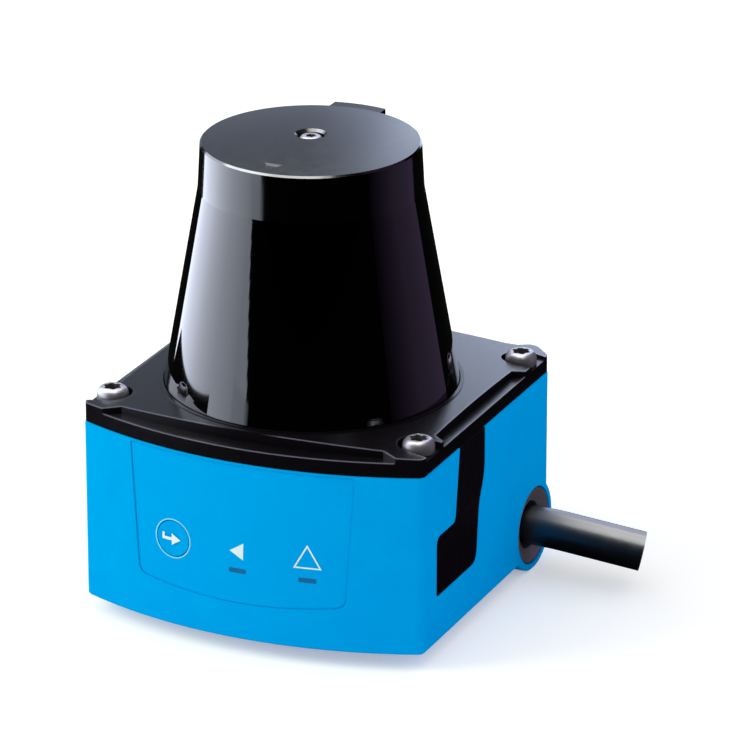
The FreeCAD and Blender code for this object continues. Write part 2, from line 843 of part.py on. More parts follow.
def hood_inner_radius(height):
    """Inner radius of the hood's cone at a height above the rim."""
    drop = max(0.0, min(hood_break_height - hood_base_height, hood_break_height - height))
    return hood_break_radius + hood_slope * drop - hood_wall


def make_scan_bracket():
    """Chassis disc with a slanted rear arm that carries the motor plate."""
    disc = Part.makeCylinder(disc_radius, disc_thickness, Vector(0, 0, disc_bottom))
    low = hood_inner_radius(0) - arm_gap
    high = hood_inner_radius(hood_break_height) - arm_gap
    foot_z = rim_z + hood_base_height
    neck_z = rim_z + hood_break_height
    section = [
        (low - arm_thickness, disc_bottom), (low, disc_bottom), (low, foot_z), (high, neck_z),
        (high, motor_plate_top), (high - arm_thickness, motor_plate_top),
        (high - arm_thickness, neck_z), (low - arm_thickness, foot_z),
    ]
    points = [Vector(radius, 0, z) for radius, z in section]
    arm = Part.Face(Part.makePolygon(points + points[:1])).revolve(Vector(), Vector(0, 0, 1), arm_angle)
    arm.rotate(Vector(), Vector(0, 0, 1), 90 - arm_angle / 2)
    plate = Part.makeCylinder(motor_plate_radius, motor_plate_thickness, Vector(0, 0, motor_plate_bottom))
    bracket = disc.fuse([arm, plate])
    cuts = [Part.makeCylinder(barrel_radius, disc_thickness + 2, Vector(0, 0, disc_bottom - 1))]
    cuts.append(Part.makeCylinder(screw_shank_diameter / 2 + thread_clearance, motor_plate_thickness + 2,
                                  Vector(0, 0, motor_plate_bottom - 1)))
    screw_hole = bracket_screw_shank_diameter / 2 + screw_clearance
    cuts += [Part.makeCylinder(screw_hole, disc_thickness + 2, place)
             for place in bracket_screw_places(disc_bottom - 1)]
    return bracket.cut(cuts)


def make_bracket_screws():
    one = screw(bracket_screw_head_diameter, bracket_screw_head_height, bracket_screw_shank_diameter,
                bracket_screw_length - 1, bracket_screw_head_diameter * 0.45,
                bracket_screw_head_height * 0.6)
    return copies(one, bracket_screw_places(disc_top))


def core_z():
    return rim_z + core_height


def tooth_end():
    return tooth_reach + tooth_shoe


def make_motor_stator():
    """Laminated core: a bored hub and wound teeth with curved shoes."""
    hub_bottom = motor_plate_bottom - hub_drop
    hub = tube(hub_radius, bearing_radius, hub_bottom, motor_plate_bottom)
    pieces = []
    for i in range(tooth_count):
        angle = 360 / tooth_count * i
        tooth = centred_box(bearing_radius + 0.5, tooth_reach + 0.2, 0, tooth_width,
                            core_z() + core_thickness / 2, core_thickness)
        ring = [Vector(tooth_reach, 0, core_z()), Vector(tooth_end(), 0, core_z()),
                Vector(tooth_end(), 0, core_z() + core_thickness),
                Vector(tooth_reach, 0, core_z() + core_thickness)]
        section = Part.Face(Part.makePolygon(ring + ring[:1]))
        shoe = section.revolve(Vector(), Vector(0, 0, 1), tooth_shoe_angle)
        shoe.rotate(Vector(), Vector(0, 0, 1), -tooth_shoe_angle / 2)
        for piece in (tooth, shoe):
            piece.rotate(Vector(), Vector(0, 0, 1), angle)
            pieces.append(piece)
    return hub.fuse(pieces).removeSplitter()


def make_motor_windings():
    coils = []
    for i in range(tooth_count):
        start = (tooth_reach + hub_radius - coil_length) / 2 + 0.2
        outer = centred_box(start, start + coil_length, 0, tooth_width + 2 * coil_thickness,
                            core_z() + core_thickness / 2, core_thickness + 2 * coil_thickness)
        inner = centred_box(start - 1, start + coil_length + 1, 0, tooth_width,
                            core_z() + core_thickness / 2, core_thickness)
        coil = outer.cut(inner)
        coil.rotate(Vector(), Vector(0, 0, 1), 360 / tooth_count * i)
        coils.append(coil)
    return Part.makeCompound(coils)


def make_motor_bearings():
    top = motor_plate_bottom
    bottom = top - hub_drop
    inner = shaft_radius + shaft_clearance
    return Part.makeCompound([
        tube(bearing_radius, inner, top - bearing_length, top),
        tube(bearing_radius, inner, bottom, bottom + bearing_length),
    ])


def bell_bottom():
    return rim_z + bell_floor_height


def bell_radius():
    return tooth_end() + magnet_gap + magnet_thickness + bell_wall


def make_rotor_shaft():
    bottom = bell_bottom()
    length = motor_plate_bottom - shaft_end_gap - bottom
    return Part.makeCylinder(shaft_radius, length, Vector(0, 0, bottom))


def make_rotor_bell():
    bottom = bell_bottom()
    outer = bell_radius()
    return lathe([
        (shaft_radius, bottom), (outer, bottom), (outer, bottom + bell_height),
        (outer - bell_wall, bottom + bell_height), (outer - bell_wall, bottom + bell_floor),
        (shaft_radius, bottom + bell_floor),
    ])


def make_rotor_magnets():
    outer = bell_radius() - bell_wall
    return tube(outer, outer - magnet_thickness, core_z() - 0.3, core_z() + core_thickness + 0.3)


def make_encoder_disc():
    top = bell_bottom()
    return Part.makeCylinder(encoder_radius, encoder_thickness, Vector(0, 0, top - encoder_thickness))


def mirror_wedge(offset):
    """Everything below the tilted mirror plane, lifted square to it by an offset."""
    size = 6 * carrier_radius
    wedge = Part.makeBox(size, size, size, Vector(-size / 2, -size / 2, -size))
    wedge.rotate(Vector(), Vector(1, 0, 0), -45)
    wedge.translate(Vector(0, 0, rim_z + mirror_height + offset * math.sqrt(2)))
    return wedge


def carrier_top():
    return bell_bottom() - encoder_thickness


def carrier_cylinder(radius):
    low = rim_z + mirror_height - 2 * carrier_radius
    return Part.makeCylinder(radius, carrier_top() - low, Vector(0, 0, low))


def make_mirror_carrier():
    """Cup under the rotor, cut off at 45 degrees to back the mirror."""
    cup = carrier_cylinder(carrier_radius).cut(mirror_wedge(mirror_thickness))
    hollow = carrier_cylinder(carrier_radius - carrier_wall).cut(carrier_cylinder(carrier_post_radius))
    return cup.cut(hollow.cut(mirror_wedge(mirror_thickness + carrier_wall)))


def make_scan_mirror():
    return carrier_cylinder(carrier_radius).common(mirror_wedge(mirror_thickness)).cut(mirror_wedge(0))


def make_encoder_sensor():
    """Forked light gate: two jaws and a back, seated on the bracket's arm."""
    disc_z = bell_bottom() - encoder_thickness / 2
    reach = encoder_radius + sensor_gap
    front = encoder_radius - sensor_reach
    jaws = []
    for side in (1, -1):
        middle = disc_z + side * (encoder_thickness / 2 + sensor_gap + sensor_jaw / 2)
        jaws.append(Part.makeBox(sensor_width, reach - front + arm_thickness, sensor_jaw,
                                 Vector(-sensor_width / 2, front, middle - sensor_jaw / 2)))
    tall = encoder_thickness + 2 * (sensor_gap + sensor_jaw)
    corner = Vector(-sensor_width / 2, reach, disc_z - tall / 2)
    back = Part.makeBox(sensor_width, arm_thickness, tall, corner)
    keep = Part.makeCylinder(hood_inner_radius(hood_break_height) - arm_gap, rim_crown_z, Vector())
    fork = jaws[0].fuse([jaws[1], back]).common(keep).cut(make_scan_bracket())
    bell_room = Part.makeCylinder(bell_radius() + sensor_gap, rim_crown_z, Vector())
    carrier_room = Part.makeCylinder(carrier_radius + sensor_gap, rim_crown_z, Vector())
    return fork.cut([bell_room, carrier_room])


def lens_seat():
    return disc_top + barrel_stand - lens_edge


def make_lens_barrel():
    """Funnel from the receiver lens down to the detector, with a three-legged spider inside."""
    top = disc_top + barrel_stand
    neck = disc_bottom - barrel_straight
    foot = board_top + barrel_foot_gap
    inner = barrel_radius - barrel_wall
    barrel = lathe([
        (barrel_radius, top), (barrel_radius, disc_bottom), (barrel_radius + barrel_flange, disc_bottom),
        (barrel_radius + barrel_flange, disc_bottom - barrel_flange_thickness),
        (barrel_radius, disc_bottom - barrel_flange_thickness), (barrel_radius, neck),
        (barrel_foot_radius, foot), (barrel_foot_radius - barrel_wall, foot),
        (inner - lens_shoulder, neck), (inner - lens_shoulder, lens_seat()),
        (inner, lens_seat()), (inner, top),
    ])
    low = lens_seat() - laser_tube_drop
    collar = laser_tube_radius + spider_collar
    spider = [tube(collar, laser_tube_radius, low, low + spider_height)]
    for i in range(3):
        rib = centred_box(collar - 0.2, inner, 0, spider_rib, low + spider_height / 2, spider_height)
        rib.rotate(Vector(), Vector(0, 0, 1), 120 * i)
        spider.append(rib)
    funnel = lathe([
        (0, top), (inner, top), (inner, neck), (barrel_foot_radius - barrel_wall / 2, foot), (0, foot),
    ])
    return barrel.fuse([piece.common(funnel) for piece in spider])


def make_receiver_lens():
    """Plano-convex lens with a bore for the laser tube."""
    outer = barrel_radius - barrel_wall
    seat = lens_seat()
    edge_top = seat + lens_edge
    radius = (outer ** 2 + lens_crown ** 2) / (2 * lens_crown)
    blank = Part.makeCylinder(outer, lens_edge + lens_crown, Vector(0, 0, seat))
    dome = Part.makeSphere(radius, Vector(0, 0, edge_top + lens_crown - radius))
    bore = Part.makeCylinder(laser_tube_radius, 4 * lens_crown, Vector(0, 0, seat - 1))
    return blank.common(dome).cut(bore)


def laser_tube_ends():
    return lens_seat() - laser_tube_drop, lens_seat() + laser_tube_rise


def make_laser_tube():
    low, high = laser_tube_ends()
    return tube(laser_tube_radius, laser_tube_radius - laser_tube_wall, low, high)


def make_collimator_lens():
    high = laser_tube_ends()[1]
    radius = laser_tube_radius - laser_tube_wall
    dome = (radius ** 2 + collimator_crown ** 2) / (2 * collimator_crown)
    blank = Part.makeCylinder(radius, collimator_edge + collimator_crown,
                              Vector(0, 0, high - collimator_edge))
    return blank.common(Part.makeSphere(dome, Vector(0, 0, high + collimator_crown - dome)))


def make_laser_diode():
    low = laser_tube_ends()[0]
    radius = laser_tube_radius - laser_tube_wall
    can = Part.makeCylinder(radius, diode_length, Vector(0, 0, low))
    flange = Part.makeCylinder(laser_tube_radius, diode_flange, Vector(0, 0, low - diode_flange))
    return can.fuse(flange)


def make_photodiode():
    half = detector_width / 2
    return Part.makeBox(detector_width, detector_width, detector_thickness, Vector(-half, -half, board_top))


def make_main_board():
    board = plan_solid(board_inset, board_height, board_top, corner_radius)
    holes = [Part.makeCylinder(bracket_post_radius + board_clearance, 2 * board_top, place)
             for place in bracket_screw_places(0)]
    holes += [Part.makeCylinder(post_radius + board_clearance, 2 * board_top, place)
              for place in cover_screw_places(0)]
    relief = gland_boss_radius + gland_relief
    corner = Vector(half_width - gland_boss_length - gland_relief, gland_y - relief, 0)
    holes.append(Part.makeBox(body_width, back_depth, 2 * board_top, corner))
    return board.cut(holes)


def make_board_parts():
    """Chips and capacitors on the main board."""
    parts = []
    for (wide, deep), inset, y in zip(chip_sizes, chip_insets, chip_rows):
        corner = Vector(inset - half_width - wide / 2, y - deep / 2, board_top)
        parts.append(Part.makeBox(wide, deep, chip_thickness, corner))
    for inset, back_inset in zip(capacitor_side_insets, capacitor_back_insets):
        place = Vector(inset - half_width, back_depth - back_inset, board_top)
        parts.append(Part.makeCylinder(capacitor_radius, capacitor_height, place))
    return Part.makeCompound(parts)


def make_front_board():
    wide = 2 * front_board_half_width
    corner = Vector(-front_board_half_width, -front_board_back - front_board_thickness, board_top)
    return Part.makeBox(wide, front_board_thickness, front_board_top - board_top, corner)


nodes = {
    "housing": make_housing,
    "top_plate": make_top_plate,
    "plate_gasket": make_plate_gasket,
    "cover_screws": make_cover_screws,
    "optics_hood": make_optics_hood,
    "hood_screw": make_hood_screw,
    "hood_seal": make_hood_seal,
    "front_label": make_front_label,
    "function_button": make_function_button,
    "button_switch": make_button_switch,
    "status_leds": make_status_leds,
    "light_pipes": make_light_pipes,
    "port_cover": make_port_cover,
    "port_socket": make_port_socket,
    "gland_ring": make_gland_ring,
    "cable_seal": make_cable_seal,
    "cable_stub": make_cable_stub,
    "scan_bracket": make_scan_bracket,
    "bracket_screws": make_bracket_screws,
    "motor_stator": make_motor_stator,
    "motor_windings": make_motor_windings,
    "motor_bearings": make_motor_bearings,
    "rotor_shaft": make_rotor_shaft,
    "rotor_bell": make_rotor_bell,
    "rotor_magnets": make_rotor_magnets,
    "encoder_disc": make_encoder_disc,
    "mirror_carrier": make_mirror_carrier,
    "scan_mirror": make_scan_mirror,
    "encoder_sensor": make_encoder_sensor,
    "lens_barrel": make_lens_barrel,
    "receiver_lens": make_receiver_lens,
    "laser_tube": make_laser_tube,
    "collimator_lens": make_collimator_lens,
    "laser_diode": make_laser_diode,
    "photodiode": make_photodiode,
    "main_board": make_main_board,
    "board_parts": make_board_parts,
    "front_board": make_front_board,
}

os.makedirs("parts", exist_ok=True)
for name, make in nodes.items():
    shape = make()
    box = shape.BoundBox
    print(f"{name}: {len(shape.Solids)} solids, {shape.Volume:.1f} mm3, "
          f"z {box.ZMin:.2f} to {box.ZMax:.2f}, valid {shape.isValid()}")
    shape.exportStep(f"parts/{name}.step")
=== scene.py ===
import bmesh
import bpy
import math
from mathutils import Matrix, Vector


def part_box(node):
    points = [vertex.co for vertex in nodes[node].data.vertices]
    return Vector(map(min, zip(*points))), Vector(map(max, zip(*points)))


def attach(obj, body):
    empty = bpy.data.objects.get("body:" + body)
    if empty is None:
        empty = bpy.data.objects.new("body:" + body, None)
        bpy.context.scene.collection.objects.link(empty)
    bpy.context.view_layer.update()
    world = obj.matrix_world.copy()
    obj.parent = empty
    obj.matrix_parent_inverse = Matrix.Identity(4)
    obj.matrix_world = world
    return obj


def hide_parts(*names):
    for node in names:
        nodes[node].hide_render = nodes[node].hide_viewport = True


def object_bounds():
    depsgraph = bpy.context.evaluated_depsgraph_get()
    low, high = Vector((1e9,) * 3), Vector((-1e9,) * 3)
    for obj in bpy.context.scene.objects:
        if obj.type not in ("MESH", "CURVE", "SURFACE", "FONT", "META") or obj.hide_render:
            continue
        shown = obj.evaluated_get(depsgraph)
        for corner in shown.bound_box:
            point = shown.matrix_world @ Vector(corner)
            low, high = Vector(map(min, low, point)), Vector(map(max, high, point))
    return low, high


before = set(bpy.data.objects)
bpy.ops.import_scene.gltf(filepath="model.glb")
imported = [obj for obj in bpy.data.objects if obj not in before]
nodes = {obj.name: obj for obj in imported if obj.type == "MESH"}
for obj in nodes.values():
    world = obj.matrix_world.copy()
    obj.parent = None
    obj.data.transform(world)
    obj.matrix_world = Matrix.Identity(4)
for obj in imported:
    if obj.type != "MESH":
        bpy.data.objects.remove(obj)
cad_low, cad_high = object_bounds()
MM = 0.001

# Camera as fitted to the photo: degrees, aim and lens in millimetres, distance in metres
CAMERA_AZIMUTH = 24.31
CAMERA_ELEVATION = 21.42
CAMERA_AIM = (10.71, 0.0, 37.14)
CAMERA_DISTANCE = 0.87495
CAMERA_LENS = 262.2
SENSOR_WIDTH = 36.0

# Bulged front, as in the CAD: its radius, its foremost point and how deep the label sits
FRONT_RADIUS = 74.6
FRONT_APEX = 29.2
LABEL_SINK = 0.12

# Prints on the label: places along the front's arc and heights above the base
PRINT_RISE = 0.02
PRINT_PARTS = 6
BUTTON_CENTRE = (-11.62, 15.0)
RING_OUTER = 3.42
RING_INNER = 3.2
ARROW = [
    (-13.65, 15.8), (-13.22, 15.8), (-13.22, 15.12), (-11.82, 15.12), (-11.82, 15.86),
    (-10.13, 14.9), (-11.82, 13.86), (-11.82, 14.62), (-13.65, 14.62),
]
PLAY_TRIANGLE = [(-1.03, 15.17), (1.32, 13.8), (1.40, 16.7)]
STATUS_TRIANGLE = [(12.22, 18.0), (9.85, 13.85), (14.6, 13.85)]
TRIANGLE_LINE = 0.25

# Hood and plate: where their finish changes, and where the plate's painted edge highlight stops
HOOD_BREAK = 67.5
HOOD_TOP_RADIUS = 16.8
POINTER_DISTANCE = 13.0
POINTER_REACH = 3.5
HOOD_SEAT_RADIUS = 25.7
POCKET_REACH = 3.4

# Screws: heads, sockets and shanks
SCREW_RADIUS = 2.6
SCREW_HEIGHT = 2.3
SCREW_SOCKET = 1.5
SCREW_SOCKET_DEPTH = 1.4
HOOD_SCREW_RADIUS = 1.95
HOOD_SCREW_HEIGHT = 1.6
HOOD_SCREW_SOCKET = 0.85
HOOD_SCREW_SOCKET_DEPTH = 1.0
SHANK_RADIUS = 1.0
SCREW_SIDES = 72
SOCKET_LOBES = 6

# Colours of surfaces
HOUSING_BLUE = (0.0, 0.345, 0.86)
PLATE_BLACK = (0.003, 0.002, 0.004)
# Pale colour painted on the plate's upward-facing edges as a highlight
PLATE_EDGE_HIGHLIGHT = (0.18, 0.19, 0.27)

# Colours of lights, and their sizes in metres
WHITE = (1.0, 1.0, 1.0)
WARM = (1.0, 1.0, 0.6)
COOL = (0.93, 1.0, 1.18)
PURPLE = (1.0, 0.68, 1.35)
SKY = (0.84, 0.96, 1.26)
OBJECT_CENTRE = (0.0, 0.0, 0.04)
CEILING_HEIGHT = 0.5
SOFTBOX_TOP = 0.4
SOFTBOX_BEND = (-0.128, -0.0885)
SOFTBOX_END = (-0.117, -0.163)
SOFTBOX_FOOT_TOP = 0.028
BACKDROP_Y = 0.2
BACKDROP_LOW = 0.03

# Stage: strength of the world as a light, and how the floor looks
WORLD_STRENGTH = 0.78
FLOOR_HALF_WIDTH = 3.0
FLOOR_PALE = 0.92
FLOOR_GLOW = 0.34
FLOOR_MIRRORED = 0.008


def add_camera():
    azimuth = math.radians(CAMERA_AZIMUTH)
    elevation = math.radians(CAMERA_ELEVATION)
    back = Vector((
        math.sin(azimuth) * math.cos(elevation),
        -math.cos(azimuth) * math.cos(elevation),
        math.sin(elevation),
    ))
    data = bpy.data.cameras.new("camera")
    data.sensor_width = SENSOR_WIDTH
    data.lens = CAMERA_LENS
    camera = bpy.data.objects.new("camera", data)
    bpy.context.scene.collection.objects.link(camera)
    camera.location = Vector(CAMERA_AIM) * MM + back * CAMERA_DISTANCE
    camera.rotation_mode = "QUATERNION"
    camera.rotation_quaternion = (-back).to_track_quat("-Z", "Y")
    bpy.context.scene.camera = camera


class Shader:
    """A principled material and short ways to add nodes to it."""

    def __init__(self, name, colour, roughness, metallic=0.0, specular=0.5):
        self.material = bpy.data.materials.new(name)
        self.material.use_nodes = True
        self.tree = self.material.node_tree
        self.surface = self.tree.nodes["Principled BSDF"]
        self.set("Base Color", (*colour, 1.0))
        self.set("Roughness", roughness)
        self.set("Metallic", metallic)
        self.set("Specular IOR Level", specular)
        self.texture = self.add("ShaderNodeTexCoord")
        self.place = self.texture.outputs["Object"]

    def add(self, kind, **values):
        node = self.tree.nodes.new(kind)
        for key, value in values.items():
            setattr(node, key, value)
        return node

    def link(self, output, target):
        self.tree.links.new(output, target)

    def set(self, socket, value):
        self.surface.inputs[socket].default_value = value

    def noise(self, size_mm, detail=3.0):
        """Noise whose features are about size_mm across."""
        node = self.add("ShaderNodeTexNoise")
        node.inputs["Scale"].default_value = 1.0 / (size_mm * MM)
        node.inputs["Detail"].default_value = detail
        self.link(self.place, node.inputs["Vector"])
        return node.outputs["Fac"]

    def spread(self, value, low, high, start=0.3, end=0.7):
        """Map a value between start and end to a range."""
        node = self.add("ShaderNodeMapRange")
        node.inputs["From Min"].default_value = start
        node.inputs["From Max"].default_value = end
        node.inputs["To Min"].default_value = low
        node.inputs["To Max"].default_value = high
        self.link(value, node.inputs["Value"])
        return node.outputs["Result"]

    def join(self, operation, first, second):
        """Sum, product or the like of two values."""
        node = self.add("ShaderNodeMath", operation=operation)
        self.link(first, node.inputs[0])
        self.link(second, node.inputs[1])
        return node.outputs["Value"]

    def mix_colour(self, value, first, second):
        """Base colour between two colours, by a value from zero to one."""
        node = self.add("ShaderNodeMix", data_type="RGBA")
        # Inputs 6 and 7 and output 2 of this node are its colours
        node.inputs[6].default_value = (*first, 1.0)
        node.inputs[7].default_value = (*second, 1.0)
        self.link(value, node.inputs[0])
        self.link(node.outputs[2], self.surface.inputs["Base Color"])

    def vary_colour(self, value, dark, light):
        self.mix_colour(self.spread(value, 0.0, 1.0), dark, light)

    def vary_roughness(self, value, low, high):
        self.link(self.spread(value, low, high), self.surface.inputs["Roughness"])

    def vector(self, operation, first, second=None):
        """Vector maths on a vector and, if any, a constant."""
        node = self.add("ShaderNodeVectorMath", operation=operation)
        self.link(first, node.inputs[0])
        if second is not None:
            node.inputs[1].default_value = second
        return node.outputs["Value" if operation == "LENGTH" else "Vector"]

    def upward_part(self, vector):
        node = self.add("ShaderNodeSeparateXYZ")
        self.link(vector, node.inputs["Vector"])
        return node.outputs["Z"]

    def plan_length(self, vector):
        """Length of a vector as seen from above."""
        flat = self.vector("MULTIPLY", vector, (1.0, 1.0, 0.0))
        return self.vector("LENGTH", flat)

    def axis_distance(self):
        """Distance of the shaded point from the scan axis."""
        return self.plan_length(self.place)

    def pocket_distance(self, middle, corner):
        """Distance from the nearest of four screws round a middle, or from the way out of its pocket."""
        centred = self.vector("SUBTRACT", self.place, middle)
        folded = self.vector("ABSOLUTE", centred)
        offset = self.vector("SUBTRACT", folded, corner)
        inner = self.vector("MINIMUM", offset, (0.0, 1.0, 1.0))
        return self.plan_length(inner)

    def outer_edges(self, reach_mm):
        """One along edges that stand out, zero on faces and in inner corners."""
        node = self.add("ShaderNodeAmbientOcclusion", inside=True, only_local=True, samples=8)
        node.inputs["Distance"].default_value = reach_mm * MM
        return self.spread(node.outputs["AO"], 1.0, 0.0, start=0.55, end=0.95)

    def rounded_normal(self, radius_mm):
        """Normal as if the edges were rounded."""
        node = self.add("ShaderNodeBevel", samples=6)
        node.inputs["Radius"].default_value = radius_mm * MM
        return node.outputs["Normal"]

    def bump(self, value, depth_mm, edge_mm=0.0):
        """Surface relief of a given depth, with rounded-looking outer edges if asked."""
        node = self.add("ShaderNodeBump")
        node.inputs["Strength"].default_value = 1.0
        node.inputs["Distance"].default_value = depth_mm * MM
        self.link(value, node.inputs["Height"])
        if edge_mm:
            flat = self.add("ShaderNodeNewGeometry")
            mix = self.add("ShaderNodeMix", data_type="VECTOR")
            # Inputs 4 and 5 and output 1 of this node are its vectors
            self.link(self.outer_edges(1.5 * edge_mm), mix.inputs[0])
            self.link(flat.outputs["Normal"], mix.inputs[4])
            self.link(self.rounded_normal(edge_mm), mix.inputs[5])
            self.link(mix.outputs[1], node.inputs["Normal"])
        self.link(node.outputs["Normal"], self.surface.inputs["Normal"])


def blue_paint():
    shader = Shader("blue_paint", HOUSING_BLUE, 0.45, specular=0.0)
    shader.vary_colour(shader.noise(7.0), (0.0, 0.335, 0.85), (0.0, 0.355, 0.87))
    shader.vary_roughness(shader.noise(1.2), 0.4, 0.5)
    shader.bump(shader.noise(0.35), 0.006, edge_mm=0.35)
    return shader.material


def label_film():
    shader = Shader("label_film", HOUSING_BLUE, 0.5, specular=0.0)
    shader.vary_colour(shader.noise(9.0), (0.0, 0.34, 0.855), (0.0, 0.35, 0.865))
    shader.bump(shader.noise(0.15), 0.003)
    return shader.material


def black_texture():
    """Fine grain; paler upper edges as painted highlight, not at the hood's seat or the screws' pockets."""
    shader = Shader("black_texture", PLATE_BLACK, 0.32, specular=0.28)
    rounded = shader.upward_part(shader.rounded_normal(0.35))
    upward = shader.spread(rounded, 0.0, 1.0, start=0.2, end=0.6)
    distance = shader.axis_distance()
    outside = shader.spread(
        distance, 0.0, 1.0, start=HOOD_SEAT_RADIUS * MM, end=(HOOD_SEAT_RADIUS + 0.5) * MM)
    low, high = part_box("cover_screws")
    middle = (low + high) / 2
    corner = (high - low) / 2 - Vector((SCREW_RADIUS, SCREW_RADIUS, 0.0)) * MM
    distance = shader.pocket_distance(middle, corner)
    beside = shader.spread(
        distance, 0.0, 1.0, start=POCKET_REACH * MM, end=(POCKET_REACH + 0.3) * MM)
    edges = shader.join("MULTIPLY", shader.outer_edges(0.45), upward)
    # Painted highlight: upward-facing outer edges, away from the hood's seat and the screws' pockets
    edge_highlight = shader.join("MULTIPLY", edges, shader.join("MULTIPLY", outside, beside))
    shader.mix_colour(edge_highlight, PLATE_BLACK, PLATE_EDGE_HIGHLIGHT)
    shader.vary_roughness(shader.noise(0.8), 0.22, 0.27)
    shader.bump(shader.noise(0.25, detail=4.0), 0.008)
    return shader.material


def hood_plastic():
    """Polished on its cone, a little duller on the band above it, satin on top and matt in the pointer."""
    shader = Shader("hood_plastic", (0.0, 0.0, 0.0), 0.04, specular=0.65)
    height = shader.upward_part(shader.place)
    sides = shader.spread(height, 0.04, 0.09, start=(HOOD_BREAK - 0.5) * MM, end=(HOOD_BREAK + 0.5) * MM)
    facing = shader.upward_part(shader.texture.outputs["Normal"])
    upward = shader.spread(facing, 0.0, 1.0, start=0.6, end=0.9)
    distance = shader.axis_distance()
    inside = shader.spread(
        distance, 1.0, 0.0, start=(HOOD_TOP_RADIUS - 0.1) * MM, end=(HOOD_TOP_RADIUS + 0.1) * MM)
    mix = shader.add("ShaderNodeMix")
    shader.link(shader.join("MAXIMUM", upward, inside), mix.inputs["Factor"])
    shader.link(sides, mix.inputs["A"])
    shader.link(shader.spread(shader.noise(1.5), 0.21, 0.25), mix.inputs["B"])
    pointer = shader.add("ShaderNodeMath", operation="COMPARE")
    pointer.inputs[1].default_value = POINTER_DISTANCE * MM
    pointer.inputs[2].default_value = POINTER_REACH * MM
    shader.link(distance, pointer.inputs[0])
    tilted = shader.spread(facing, 0.4, 0.0, start=0.75, end=0.9)
    dull = shader.join("MULTIPLY", pointer.outputs["Value"], tilted)
    roughness = shader.join("ADD", mix.outputs["Result"], dull)
    shader.link(roughness, shader.surface.inputs["Roughness"])
    return shader.material


def satin_steel():
    shader = Shader("satin_steel", (0.27, 0.256, 0.283), 0.4, metallic=0.75)
    shader.vary_roughness(shader.noise(0.4), 0.36, 0.44)
    shader.bump(shader.noise(0.25), 0.001)
    return shader.material


# Near-black stand-in for the shadow deep in a screw's socket: painted shade
def socket_painted_shade():
    shader = Shader("socket_painted_shade", (0.045, 0.04, 0.045), 0.6, specular=0.1)
    shader.vary_roughness(shader.noise(0.4), 0.55, 0.65)
    return shader.material


def gland_alloy():
    shader = Shader("gland_alloy", (0.24, 0.225, 0.28), 0.4, metallic=0.6)
    shader.vary_roughness(shader.noise(0.6), 0.35, 0.45)
    shader.bump(shader.noise(0.25), 0.003, edge_mm=0.15)
    return shader.material


def turned_alloy():
    shader = Shader("turned_alloy", (0.6, 0.61, 0.63), 0.35, metallic=1.0)
    shader.vary_roughness(shader.noise(0.6), 0.3, 0.42)
    shader.bump(shader.noise(0.25), 0.003, edge_mm=0.15)
    return shader.material


def black_rubber():
    shader = Shader("black_rubber", (0.005, 0.0008, 0.007), 0.55, specular=0.12)
    shader.vary_roughness(shader.noise(1.5), 0.48, 0.62)
    shader.bump(shader.noise(0.3), 0.01, edge_mm=0.25)
    return shader.material


def cable_sheath():
    shader = Shader("cable_sheath", (0.003, 0.002, 0.004), 0.36, specular=1.0)
    shader.vary_roughness(shader.noise(1.5), 0.33, 0.39)
    shader.bump(shader.noise(0.3), 0.006)
    return shader.material


def frosted_window():
    shader = Shader("frosted_window", (0.005, 0.13, 0.36), 0.4, specular=0.1)
    shader.bump(shader.noise(0.2), 0.004)
    return shader.material


def plain_part(name, colour, roughness, metallic=0.0):
    """Material for the pieces inside, with a slight grain."""
    shader = Shader(name, colour, roughness, metallic)
    shader.vary_roughness(shader.noise(1.0), roughness - 0.06, roughness + 0.06)
    shader.bump(shader.noise(0.3), 0.004)
    return shader.material


def ink(name, colour, dark, light):
    shader = Shader(name, colour, 0.5)
    shader.vary_colour(shader.noise(0.5), dark, light)
    return shader.material


def dress(material, *names):
    for name in names:
        data = nodes[name].data
        data.materials.clear()
        data.materials.append(material)


def dress_nodes(steel):
    """Materials for all pieces that come from the CAD."""
    dress(blue_paint(), "housing")
    dress(label_film(), "front_label", "function_button")
    dress(black_texture(), "top_plate")
    dress(hood_plastic(), "optics_hood")
    dress(steel, "cover_screws", "hood_screw", "bracket_screws", "motor_bearings", "rotor_shaft",
          "port_socket")
    dress(gland_alloy(), "gland_ring")
    dress(turned_alloy(), "laser_tube", "laser_diode", "encoder_disc")
    dress(black_rubber(), "port_cover", "plate_gasket", "hood_seal", "cable_seal")
    dress(cable_sheath(), "cable_stub")
    dress(frosted_window(), "light_pipes", "status_leds")
    dress(plain_part("cast_alloy", (0.5, 0.5, 0.52), 0.45, 1.0), "scan_bracket", "mirror_carrier")
    dress(plain_part("core_steel", (0.3, 0.3, 0.32), 0.4, 1.0), "motor_stator", "rotor_bell", "rotor_magnets")
    dress(plain_part("copper", (0.72, 0.36, 0.18), 0.35, 1.0), "motor_windings")
    dress(plain_part("black_plastic", (0.02, 0.02, 0.022), 0.5),
          "button_switch", "encoder_sensor", "lens_barrel", "photodiode", "board_parts")
    dress(plain_part("board", (0.02, 0.2, 0.08), 0.4), "main_board", "front_board")
    dress(plain_part("mirror", (0.9, 0.9, 0.92), 0.07, 1.0), "scan_mirror")
    dress(plain_part("lens_glass", (0.6, 0.7, 0.75), 0.1), "receiver_lens", "collimator_lens")


def link_mesh(name, mesh, material, body):
    """New piece from a bmesh, riding on a body."""
    bmesh.ops.recalc_face_normals(mesh, faces=mesh.faces)
    data = bpy.data.meshes.new(name)
    mesh.to_mesh(data)
    mesh.free()
    data.materials.append(material)
    piece = bpy.data.objects.new(name, data)
    bpy.context.scene.collection.objects.link(piece)
    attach(piece, body)
    return piece


